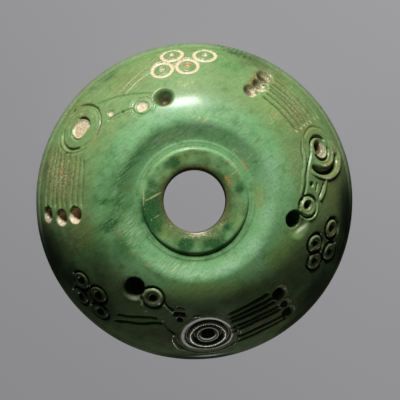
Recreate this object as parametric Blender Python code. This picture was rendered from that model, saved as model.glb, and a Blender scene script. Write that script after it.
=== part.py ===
"""A carved greenstone spindle whorl, lying on its flat underside with the carved side up.

Metres, +Z up, with the origin at the centre of the underside. The whorl is one turned ring: a bore with
a worn mouth, a low collar round it, a shallow dish, a rounded crest, a steep dome and a narrow rim lip.
Three figures are cut into the dome, all facing clockwise. Each has an eye of drilled rings, a plume of
grooves that ends in three drilled holes, a tapering snout with a nose ring and a deep socket in front of
it, and a double stem that leads to a rosette of four drilled rings.
"""

import math
from collections import namedtuple

import bmesh
import bpy
from mathutils import Vector

MM = 0.001

# Turned form, from the bore outwards
BORE_RADIUS = 3.9 * MM
UNDER_BEVEL = 0.5 * MM  # at the bottom of the bore
MOUTH_WIDTH = 0.95 * MM  # worn funnel at the top of the bore
MOUTH_DEPTH = 0.4 * MM
COLLAR_WIDTH = 2.78 * MM  # from the bore to the collar's foot
COLLAR_ROUND = 0.5 * MM  # width of the collar's rounded edge
COLLAR_RISE = 0.35 * MM  # above its foot
FOOT_WIDTH = 0.92 * MM  # from the collar's foot out to the dish's lowest circle
FOOT_FALL = 0.08 * MM
DISH_WIDTH = 2.25 * MM  # from its lowest circle out to the crest
DISH_DEPTH = 0.5 * MM  # below the crest
DISH_SLOPE = math.radians(15.5)  # where it meets the rounding of the crest
CREST_ROUND = 1.7 * MM  # radius of that rounding
SHOULDER_ANGLE = math.radians(17.5)  # the dome's slope where it leaves the rounding
SHOULDER_ARC_RADIUS = 11.3 * MM  # first of the dome's three arcs
SHOULDER_ARC_END = math.radians(41)  # its slope at its lower end
FLANK_ARC_RADIUS = 23.4 * MM
FLANK_ARC_END = math.radians(55)
BROW_ARC_RADIUS = 8.6 * MM  # last arc, down to the crease at the dome's foot
RIM_RADIUS = 20.0 * MM
LIP_WIDTH = 0.5 * MM  # from the crease out to the rim
LIP_START = math.radians(55)  # the lip's slope at the crease
EDGE_HEIGHT = 0.2 * MM  # upright part of the rim, below the lip
HEEL_BEVEL = 0.4 * MM  # between the upright part and the underside

# Facets, round the whorl and along the curves of its section
SIDES = 60
MOUTH_STEPS = 3
COLLAR_STEPS = 2
DISH_STEPS = 3
CREST_STEPS = 3
DOME_STEPS = (2, 3, 2)  # down each of the dome's arcs
LIP_STEPS = 2

# Carving sizes, the same in all three figures
EYE_AXIS_RADIUS = 17.05 * MM  # from the whorl's axis to the eye's centre
EYE_PIT_RADIUS = 0.85 * MM
EYE_PIT_DEPTH = 0.9 * MM
PUPIL_RING_RADIUS = 1.55 * MM
IRIS_RING_RADIUS = 2.85 * MM
LID_RING_RADIUS = 3.6 * MM
NOSE_RING_RADIUS = 1.35 * MM
NOSE_PIT_RADIUS = 0.55 * MM
PETAL_RING_RADIUS = 1.2 * MM
PETAL_PIT_RADIUS = 0.35 * MM
SMALL_PIT_DEPTH = 0.5 * MM
SOCKET_RADIUS = 1.4 * MM
SOCKET_DEPTH = 2.4 * MM
ROW_HOLE_RADIUS = 1.05 * MM
ROW_HOLE_DEPTH = 1.5 * MM
NOSTRIL_RADIUS = 0.32 * MM
NOSTRIL_DEPTH = 0.35 * MM
NOSTRIL_SHARES = (0.48, 0.66)  # of the way from the eye to the nose
RING_WIDTH = 0.42 * MM
RING_DEPTH = 0.34 * MM
IRIS_RING_WIDTH = 0.62 * MM
LINE_WIDTH = 0.4 * MM
LINE_DEPTH = 0.26 * MM
PLUME_GROOVES = 7
PLUME_WIDTH = 6.0 * MM  # first groove to last
BROW_OUT = 0.3 * MM  # where the brow leaves the ring round the eye, out from the eye's centre
STEM_PITCH = 0.75 * MM  # between the stem's two grooves
WALL_SHARE = 0.2  # upright share of a drilled pit's depth
TIP_SHARE = 0.55  # width of a drilled pit's floor, as a share of its mouth
FACETS_AT_1_MM = 10  # round a cut of 1 mm radius
FEWEST_FACETS = 6
PLUME_STEPS = 3  # straight runs in each groove of the plume
LINE_STEPS = 4  # and in every other line
CUT_LIFT = 0.3 * MM  # how far each cutter stands above the surface

# Where each figure has its features, as shares of the radius of the ring round its eye. All places are
# from the eye's centre: along is clockwise round the whorl, measured at the eye's distance from the axis,
# and out is down the dome towards the rim.
Figure = namedtuple(
    "Figure", "bearing row row_pitch row_lean nose socket stem rosette side_step out_step"
)
FIGURES = (
    Figure(
        bearing=math.radians(147.6),
        row=(-3.22, -0.08),
        row_pitch=0.75,
        row_lean=0.07,
        nose=(2.38, -1.36),
        socket=(3.36, -1.38),
        stem=(1.83, -0.3),
        rosette=(3.61, -0.03),
        side_step=(0.89, 0.0),
        out_step=(0.42, 0.78),
    ),
    Figure(
        bearing=math.radians(22.5),
        row=(-3.2, -0.14),
        row_pitch=0.51,
        row_lean=0.1,
        nose=(2.08, -1.19),
        socket=(2.75, -1.65),
        stem=(1.9, -0.45),
        rosette=(2.81, 0.22),
        side_step=(0.67, -0.67),
        out_step=(0.75, 0.26),
    ),
    Figure(
        bearing=math.radians(-84.4),
        row=(-2.93, 0.0),
        row_pitch=0.55,
        row_lean=0.1,
        nose=(2.4, -1.49),
        socket=(3.33, -1.53),
        stem=(1.83, -0.5),
        rosette=(3.83, 0.56),
        side_step=(0.42, -0.64),
        out_step=(0.78, 0.22),
    ),
)

# Worked out from the sizes above
COLLAR_RADIUS = BORE_RADIUS + COLLAR_WIDTH
DISH_RADIUS = COLLAR_RADIUS + FOOT_WIDTH
CREST_RADIUS = DISH_RADIUS + DISH_WIDTH
SHOULDER_RADIUS = CREST_RADIUS + CREST_ROUND * math.sin(SHOULDER_ANGLE)
CREASE_RADIUS = RIM_RADIUS - LIP_WIDTH
LIP_RADIUS = LIP_WIDTH / (1 - math.sin(LIP_START))
LIP_FOOT_Z = HEEL_BEVEL + EDGE_HEIGHT
CREASE_Z = LIP_FOOT_Z + LIP_RADIUS * math.cos(LIP_START)

# An arc of the dome's section, in (radius, height), between two slopes, where a slope of 0 is its top
Arc = namedtuple("Arc", "centre radius first last")


def dome_arcs():
    """The dome's arcs from the shoulder down, each running smoothly into the next, ending at the crease."""
    arcs = []
    radius, height, slope = SHOULDER_RADIUS, 0.0, SHOULDER_ANGLE
    brow_start = (
        SHOULDER_RADIUS
        + SHOULDER_ARC_RADIUS * (math.sin(SHOULDER_ARC_END) - math.sin(SHOULDER_ANGLE))
        + FLANK_ARC_RADIUS * (math.sin(FLANK_ARC_END) - math.sin(SHOULDER_ARC_END))
    )
    crease_slope = math.asin(math.sin(FLANK_ARC_END) + (CREASE_RADIUS - brow_start) / BROW_ARC_RADIUS)
    for arc_radius, last in (
        (SHOULDER_ARC_RADIUS, SHOULDER_ARC_END),
        (FLANK_ARC_RADIUS, FLANK_ARC_END),
        (BROW_ARC_RADIUS, crease_slope),
    ):
        centre = (radius - arc_radius * math.sin(slope), height - arc_radius * math.cos(slope))
        arcs.append(Arc(centre, arc_radius, slope, last))
        radius = centre[0] + arc_radius * math.sin(last)
        height = centre[1] + arc_radius * math.cos(last)
        slope = last
    rise = CREASE_Z - height
    return [arc._replace(centre=(arc.centre[0], arc.centre[1] + rise)) for arc in arcs]


DOME_ARCS = dome_arcs()
EYE_SLOPE = math.asin((EYE_AXIS_RADIUS - DOME_ARCS[1].centre[0]) / FLANK_ARC_RADIUS)
EYE_WAY = SHOULDER_ARC_RADIUS * (SHOULDER_ARC_END - SHOULDER_ANGLE) + FLANK_ARC_RADIUS * (
    EYE_SLOPE - SHOULDER_ARC_END
)
SHOULDER_Z = DOME_ARCS[0].centre[1] + SHOULDER_ARC_RADIUS * math.cos(SHOULDER_ANGLE)
CREST_Z = SHOULDER_Z + CREST_ROUND * (1 - math.cos(SHOULDER_ANGLE))
DISH_Z = CREST_Z - DISH_DEPTH
FOOT_Z = DISH_Z + FOOT_FALL
COLLAR_Z = FOOT_Z + COLLAR_RISE


def quarter_round(start, end, steps, steep_first):
    """Points after start up to end along a quarter of an ellipse, upright at start if steep_first."""
    points = []
    for i in range(1, steps + 1):
        turn = math.pi / 2 * i / steps
        slow, fast = 1 - math.cos(turn), math.sin(turn)
        across, up = (slow, fast) if steep_first else (fast, slow)
        points.append((start[0] + (end[0] - start[0]) * across, start[1] + (end[1] - start[1]) * up))
    return points


def arc_points(arc, steps):
    points = []
    for i in range(steps + 1):
        slope = arc.first + (arc.last - arc.first) * i / steps
        points.append(
            (arc.centre[0] + arc.radius * math.sin(slope), arc.centre[1] + arc.radius * math.cos(slope))
        )
    return points


def dish_points(end, steps):
    """The dish from its lowest circle to just before end, level at first and at DISH_SLOPE at end."""
    bend = end[0] - (end[1] - DISH_Z) / math.tan(DISH_SLOPE)
    points = []
    for i in range(steps):
        share = i / steps
        radius = (1 - share) ** 2 * DISH_RADIUS + 2 * share * (1 - share) * bend + share**2 * end[0]
        points.append((radius, DISH_Z + share**2 * (end[1] - DISH_Z)))
    return points


def whorl_profile():
    """The ring's section as (radius, height), from the bottom of the bore up, over and down to the rim."""
    mouth_foot = (BORE_RADIUS, COLLAR_Z - MOUTH_DEPTH)
    mouth_edge = (BORE_RADIUS + MOUTH_WIDTH, COLLAR_Z)
    collar_edge = (COLLAR_RADIUS - COLLAR_ROUND, COLLAR_Z)
    points = [(BORE_RADIUS + UNDER_BEVEL, 0.0), (BORE_RADIUS, UNDER_BEVEL), mouth_foot]
    points += quarter_round(mouth_foot, mouth_edge, MOUTH_STEPS, steep_first=True)
    points.append(collar_edge)
    points += quarter_round(collar_edge, (COLLAR_RADIUS, FOOT_Z), COLLAR_STEPS, steep_first=False)
    crest_arc = Arc((CREST_RADIUS, CREST_Z - CREST_ROUND), CREST_ROUND, -DISH_SLOPE, SHOULDER_ANGLE)
    crest = arc_points(crest_arc, CREST_STEPS)
    points += dish_points(crest[0], DISH_STEPS)
    points += crest
    for arc, steps in zip(DOME_ARCS, DOME_STEPS):
        points += arc_points(arc, steps)[1:]
    lip = Arc((RIM_RADIUS - LIP_RADIUS, LIP_FOOT_Z), LIP_RADIUS, LIP_START, math.pi / 2)
    points += arc_points(lip, LIP_STEPS)[1:]
    points += [(RIM_RADIUS, HEEL_BEVEL), (RIM_RADIUS - HEEL_BEVEL, 0.0)]
    return points


def turned_body(name):
    """The uncarved whorl: its section spun once round the Z axis."""
    bm = bmesh.new()
    ring = [bm.verts.new((radius, 0.0, height)) for radius, height in whorl_profile()]
    edges = [bm.edges.new((ring[i], ring[(i + 1) % len(ring)])) for i in range(len(ring))]
    bmesh.ops.spin(
        bm,
        geom=ring + edges,
        axis=(0, 0, 1),
        cent=(0, 0, 0),
        angle=2 * math.pi,
        steps=SIDES,
        use_merge=True,
    )
    bmesh.ops.recalc_face_normals(bm, faces=bm.faces[:])
    mesh = bpy.data.meshes.new(name)
    bm.to_mesh(mesh)
    bm.free()
    body = bpy.data.objects.new(name, mesh)
    bpy.context.scene.collection.objects.link(body)
    return body


def dome_section(out):
    """(radius, height, slope) on the dome's section at a distance down it from the eyes."""
    way = EYE_WAY + out
    for arc in DOME_ARCS:
        slope = arc.first + way / arc.radius
        if slope <= arc.last or arc is DOME_ARCS[-1]:
            break
        way -= arc.radius * (arc.last - arc.first)
    return (
        arc.centre[0] + arc.radius * math.sin(slope),
        arc.centre[1] + arc.radius * math.cos(slope),
        slope,
    )


def on_dome(figure, place):
    """(point, outward normal) on the dome at a place of a figure."""
    along, out = place
    radius, height, slope = dome_section(out)
    turn = figure.bearing - along / EYE_AXIS_RADIUS
    outward = Vector((math.cos(turn), math.sin(turn), 0.0))
    return (
        outward * radius + Vector((0, 0, height)),
        outward * math.sin(slope) + Vector((0, 0, math.cos(slope))),
    )


def facets(radius):
    """How many facets a round cut has: in step with the square root of its radius."""
    return max(FEWEST_FACETS, round(FACETS_AT_1_MM * math.sqrt(radius / MM)))


def ring_places(centre, radius):
    """Places round a circle of true radius on the dome."""
    stretch = EYE_AXIS_RADIUS / dome_section(centre[1])[0]
    count = facets(radius)
    places = []
    for i in range(count):
        turn = 2 * math.pi * i / count
        places.append(
            (centre[0] + radius * stretch * math.cos(turn), centre[1] + radius * math.sin(turn))
        )
    return places


def from_eye(place):
    """A place given as shares of the lid ring's radius, as a length."""
    return (place[0] * LID_RING_RADIUS, place[1] * LID_RING_RADIUS)


def line_places(start, end, bow, steps):
    """Places from start to end along a parabola that bows up the dome by bow at its middle."""
    places = []
    for i in range(steps + 1):
        share = i / steps
        sag = bow * 4 * share * (1 - share)
        places.append(
            (start[0] + (end[0] - start[0]) * share, start[1] + (end[1] - start[1]) * share - sag)
        )
    return places


def add_cutter(name, bm, cutters):
    bmesh.ops.triangulate(bm, faces=bm.faces[:])
    bmesh.ops.recalc_face_normals(bm, faces=bm.faces[:])
    mesh = bpy.data.meshes.new(name)
    bm.to_mesh(mesh)
    bm.free()
    cutter = bpy.data.objects.new(name, mesh)
    cutter.hide_render = True
    cutter.display_type = "WIRE"
    cutters.objects.link(cutter)


def cut_groove(name, figure, places, width, depth, cutters, closed=False, fades=False):
    """A V-shaped cutter swept along places on the dome. One that fades runs out to nothing at its ends."""
    frames = [on_dome(figure, place) for place in places]
    count = len(frames)
    bm = bmesh.new()
    sections = []
    for i, (point, normal) in enumerate(frames):
        before = frames[(i - 1) % count][0] if closed or i > 0 else point
        after = frames[(i + 1) % count][0] if closed or i < count - 1 else point
        side = normal.cross(after - before).normalized()
        bottom = CUT_LIFT / 3 if fades and i in (0, count - 1) else -depth
        half = width / 2 * (depth + CUT_LIFT) / depth
        sections.append(
            (
                bm.verts.new(point + normal * CUT_LIFT - side * half),
                bm.verts.new(point + normal * CUT_LIFT + side * half),
                bm.verts.new(point + normal * bottom),
            )
        )
    for i in range(count if closed else count - 1):
        here, there = sections[i], sections[(i + 1) % count]
        for k in range(3):
            bm.faces.new((here[k], here[(k + 1) % 3], there[(k + 1) % 3], there[k]))
    if not closed:
        bm.faces.new(sections[0])
        bm.faces.new(sections[-1])
    add_cutter(name, bm, cutters)


def cut_pit(name, figure, place, radius, depth, cutters, blunt=True):
    """A drilled pit square to the dome, flat at its bottom or, if small, a plain cone."""
    point, normal = on_dome(figure, place)
    side = normal.orthogonal().normalized()
    other = normal.cross(side)
    if blunt:
        rings = ((radius, CUT_LIFT), (radius, -WALL_SHARE * depth), (TIP_SHARE * radius, -depth))
    else:
        rings = ((radius * (depth + CUT_LIFT) / depth, CUT_LIFT),)
    count = facets(radius)
    bm = bmesh.new()
    rows = []
    for ring_radius, height in rings:
        row = []
        for i in range(count):
            turn = 2 * math.pi * i / count
            across = side * math.cos(turn) + other * math.sin(turn)
            row.append(bm.verts.new(point + across * ring_radius + normal * height))
        rows.append(row)
    bm.faces.new(rows[0])
    for upper, lower in zip(rows, rows[1:]):
        for i in range(count):
            k = (i + 1) % count
            bm.faces.new((upper[i], upper[k], lower[k], lower[i]))
    if blunt:
        bm.faces.new(rows[-1])
    else:
        tip = bm.verts.new(point - normal * depth)
        for i in range(count):
            bm.faces.new((rows[-1][i], rows[-1][(i + 1) % count], tip))
    add_cutter(name, bm, cutters)


def carve_eye(tag, figure, cutters):
    eye = (0.0, 0.0)
    cut_pit(tag + "eye_pit", figure, eye, EYE_PIT_RADIUS, EYE_PIT_DEPTH, cutters)
    rings = (
        (PUPIL_RING_RADIUS, RING_WIDTH, RING_DEPTH),
        (IRIS_RING_RADIUS, IRIS_RING_WIDTH, RING_DEPTH),
        (LID_RING_RADIUS, LINE_WIDTH, LINE_DEPTH),
    )
    for i, (radius, width, depth) in enumerate(rings):
        places = ring_places(eye, radius)
        cut_groove(f"{tag}eye_ring_{i}", figure, places, width, depth, cutters, closed=True)


def carve_plume(tag, figure, cutters):
    """Grooves from the ring round the eye to the row of three holes."""
    row = from_eye(figure.row)
    row_step = from_eye((figure.row_lean, figure.row_pitch))
    for i in range(PLUME_GROOVES):
        share = 2 * i / (PLUME_GROOVES - 1) - 1
        out = share * PLUME_WIDTH / 2
        start = (-math.sqrt(max(LID_RING_RADIUS**2 - out**2, 0.0)), out)
        end = (row[0] + ROW_HOLE_RADIUS - LINE_WIDTH, row[1] + share * row_step[1])
        places = line_places(start, end, LINE_WIDTH / 2, PLUME_STEPS)
        cut_groove(f"{tag}plume_{i}", figure, places, LINE_WIDTH, LINE_DEPTH, cutters)
    for i in (-1, 0, 1):
        place = (row[0] + i * row_step[0], row[1] + i * row_step[1])
        cut_pit(f"{tag}row_hole_{i + 1}", figure, place, ROW_HOLE_RADIUS, ROW_HOLE_DEPTH, cutters)


def carve_snout(tag, figure, cutters):
    """The snout's two edges, its nostrils, the nose ring and the socket in front of it."""
    nose = from_eye(figure.nose)
    socket = from_eye(figure.socket)
    cut_pit(tag + "socket", figure, socket, SOCKET_RADIUS, SOCKET_DEPTH, cutters)
    cut_pit(tag + "nose_pit", figure, nose, NOSE_PIT_RADIUS, SMALL_PIT_DEPTH, cutters, blunt=False)
    places = ring_places(nose, NOSE_RING_RADIUS)
    cut_groove(tag + "nose_ring", figure, places, RING_WIDTH, RING_DEPTH, cutters, closed=True)
    brow = line_places(
        (LID_RING_RADIUS + LINE_WIDTH, BROW_OUT),
        (socket[0] - SOCKET_RADIUS, nose[1] + NOSE_RING_RADIUS + LINE_WIDTH),
        LINE_WIDTH / 2,
        LINE_STEPS,
    )
    cut_groove(tag + "brow", figure, brow, LINE_WIDTH, LINE_DEPTH, cutters, fades=True)
    jaw = line_places(
        (LID_RING_RADIUS / 2, -LID_RING_RADIUS),
        (nose[0] - NOSE_RING_RADIUS, nose[1] - RING_WIDTH / 2),
        LINE_WIDTH / 2,
        LINE_STEPS,
    )
    cut_groove(tag + "jaw", figure, jaw, LINE_WIDTH, LINE_DEPTH, cutters, fades=True)
    for i, share in enumerate(NOSTRIL_SHARES):
        place = (nose[0] * share, nose[1] * share - NOSTRIL_RADIUS)
        pit_tag = f"{tag}nostril_{i}"
        cut_pit(pit_tag, figure, place, NOSTRIL_RADIUS, NOSTRIL_DEPTH, cutters, blunt=False)


def carve_rosette(tag, figure, cutters):
    """The double stem and the four ringed petals that it leads to."""
    first = from_eye(figure.rosette)
    side_step = from_eye(figure.side_step)
    out_step = from_eye(figure.out_step)
    stem = from_eye(figure.stem)
    for i in (0, 1):
        start = (stem[0] + i * STEM_PITCH, stem[1] - i * STEM_PITCH)
        end = (first[0] - PETAL_RING_RADIUS, first[1] + (0.5 - i) * STEM_PITCH)
        places = line_places(start, end, LINE_WIDTH, LINE_STEPS)
        cut_groove(f"{tag}stem_{i}", figure, places, LINE_WIDTH, LINE_DEPTH, cutters, fades=True)
    for i in (0, 1):
        for k in (0, 1):
            centre = (
                first[0] + i * side_step[0] + k * out_step[0],
                first[1] + i * side_step[1] + k * out_step[1],
            )
            pit_tag = f"{tag}petal_pit_{i}{k}"
            cut_pit(pit_tag, figure, centre, PETAL_PIT_RADIUS, SMALL_PIT_DEPTH, cutters, blunt=False)
            places = ring_places(centre, PETAL_RING_RADIUS)
            ring_tag = f"{tag}petal_ring_{i}{k}"
            cut_groove(ring_tag, figure, places, RING_WIDTH, RING_DEPTH, cutters, closed=True)


def green_stone():
    """Polished green stone."""
    material = bpy.data.materials.new("green_stone")
    material.use_nodes = True
    shader = material.node_tree.nodes["Principled BSDF"]
    shader.inputs["Base Color"].default_value = (0.21, 0.36, 0.18, 1.0)
    shader.inputs["Roughness"].default_value = 0.3
    shader.inputs["Metallic"].default_value = 0.0
    return material


def main():
    for obj in list(bpy.data.objects):
        bpy.data.objects.remove(obj)
    body = turned_body("whorl")
    body.data.materials.append(green_stone())
    cutters = bpy.data.collections.new("cutters")
    bpy.context.scene.collection.children.link(cutters)
    for number, figure in enumerate(FIGURES, start=1):
        tag = f"cut_{number}_"
        carve_eye(tag, figure, cutters)
        carve_plume(tag, figure, cutters)
        carve_snout(tag, figure, cutters)
        carve_rosette(tag, figure, cutters)
    carving = body.modifiers.new("carving", "BOOLEAN")
    carving.operation = "DIFFERENCE"
    carving.operand_type = "COLLECTION"
    carving.collection = cutters
    body.data.shade_smooth()
    body.data.set_sharp_from_angle(angle=math.radians(30))


main()
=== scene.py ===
import math
from collections import namedtuple

import bmesh
import bpy
import numpy as np
from mathutils import Matrix, Vector, noise


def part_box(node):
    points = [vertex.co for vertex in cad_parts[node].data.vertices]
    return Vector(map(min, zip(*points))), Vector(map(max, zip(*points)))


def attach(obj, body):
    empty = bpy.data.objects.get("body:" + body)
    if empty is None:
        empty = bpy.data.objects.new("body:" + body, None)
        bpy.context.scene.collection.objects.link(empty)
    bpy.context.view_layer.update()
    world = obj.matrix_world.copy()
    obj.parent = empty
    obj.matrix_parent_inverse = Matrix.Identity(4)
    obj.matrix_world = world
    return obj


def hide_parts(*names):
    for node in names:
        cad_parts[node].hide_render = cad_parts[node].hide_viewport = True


# The look of a carved greenstone spindle whorl. One skin stands for the turned and carved ring: its turned
# form is swept from a section, and its figures are pressed into that as grooves, rings and drilled pits.
# Lengths are in millimetres where nothing else is said. Places on the dome are (along, out): along is
# clockwise from a figure's eye, measured at the eye's distance from the axis, and out is down the dome to
# the rim.

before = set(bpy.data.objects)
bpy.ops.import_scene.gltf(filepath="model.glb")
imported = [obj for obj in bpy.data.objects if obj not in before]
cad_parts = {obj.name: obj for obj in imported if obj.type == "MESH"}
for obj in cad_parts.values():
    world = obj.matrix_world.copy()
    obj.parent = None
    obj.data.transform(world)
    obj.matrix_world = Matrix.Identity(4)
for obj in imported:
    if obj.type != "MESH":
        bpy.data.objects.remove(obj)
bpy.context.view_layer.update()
MM = 0.001
RIM_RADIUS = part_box("whorl")[1].x / MM
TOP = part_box("whorl")[1].z / MM

# Turned form
BORE_RADIUS = 3.9
UNDER_BEVEL = 0.5
MOUTH_WIDTH = 0.95
MOUTH_DEPTH = 0.4
COLLAR_RADIUS = 6.68
COLLAR_ROUND = 0.5
COLLAR_RISE = 0.35
DISH_RADIUS = 7.6  # the dish's lowest circle
FOOT_FALL = 0.08
DISH_DEPTH = 0.5
DISH_SLOPE = math.radians(15.5)
CREST_RADIUS = 9.85
CREST_ROUND = 1.7
SHOULDER_ANGLE = math.radians(17.5)  # the slope where the crest becomes the dome
SHOULDER_ARC = (11.3, math.radians(41))  # radius, and the slope at its lower end
FLANK_ARC = (23.4, math.radians(55))
BROW_ARC_RADIUS = 8.6
LIP_WIDTH = 0.5
LIP_START = math.radians(55)  # its slope at the crease
HEEL_BEVEL = 0.4
EYE_AXIS_RADIUS = 17.05  # from the axis to each figure's eye

SHOULDER_RADIUS = CREST_RADIUS + CREST_ROUND * math.sin(SHOULDER_ANGLE)
SHOULDER_Z = TOP - CREST_ROUND * (1 - math.cos(SHOULDER_ANGLE))
CREASE_RADIUS = RIM_RADIUS - LIP_WIDTH
DISH_Z = TOP - DISH_DEPTH
FOOT_Z = DISH_Z + FOOT_FALL
COLLAR_Z = FOOT_Z + COLLAR_RISE
CARVED_Z = 0.6  # the upright edge and the underside lie below this, and the dome above it

# Mesh. The section's stretches run from the bottom of the bore up, over, down and back under. Each has a
# pitch between its rows of faces.
COLUMNS = 240
SEAM = math.radians(-159)  # between two figures
ROW_PITCH = {
    "bore bevel": 0.2,
    "bore": 0.7,
    "mouth": 0.12,
    "collar top": 0.2,
    "collar edge": 0.09,
    "collar foot": 0.06,
    "dish": 0.22,
    "crest": 0.16,
    "dome": 0.38,
    "lip": 0.13,
    "edge": 0.2,
    "heel": 0.16,
    "underside": 2.0,
}
FINE_REACH = (0.45, 0.12)  # how near a cut's edge a face lies to be split once, and twice
TABLE_PITCH = 0.02  # between the section's points on lines and arcs
ROUND_POINTS = 60
DISH_POINTS = 120
CURVE_STEPS = 6  # straight runs between two places of a curve
MERGE_REACH = 1e-7  # in metres, where the sheet's ends meet
FAR = 1e9  # further off than any cut

# Cuts. A depth below zero is a raised line. The fill fields say how much pale or brown fill a cut holds, and
# gloss how polished it is. On the lower figure's eye and snout, and on one wall of the left figure's holes,
# the pale fill is partly painted highlight. A broken ring has its first end and its sweep in degrees, turned
# from along towards out. floor is the level share of a pit's radius. A line is a curve through its places.
Ring = namedtuple(
    "Ring", "place radius width depth first sweep residue brown gloss", defaults=(0, 360, 0, 0, 0)
)
Pit = namedtuple("Pit", "place radius depth floor residue brown gloss", defaults=(0.4, 0, 0, 0))
Line = namedtuple("Line", "places width depth residue brown gloss", defaults=(0, 0, 0))

# Figures. plume holds how far out each groove is at its near end, in its middle and at its far end, and
# plume_span how far along the far and the near ends are. plume_groove is the grooves' width, depth, pale fill
# and brown. A petal's cuts are made at each place in petals.
Figure = namedtuple("Figure", "bearing plume plume_groove plume_span cuts petals petal")
HERE = (0.0, 0.0)  # any petal's own place

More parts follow.
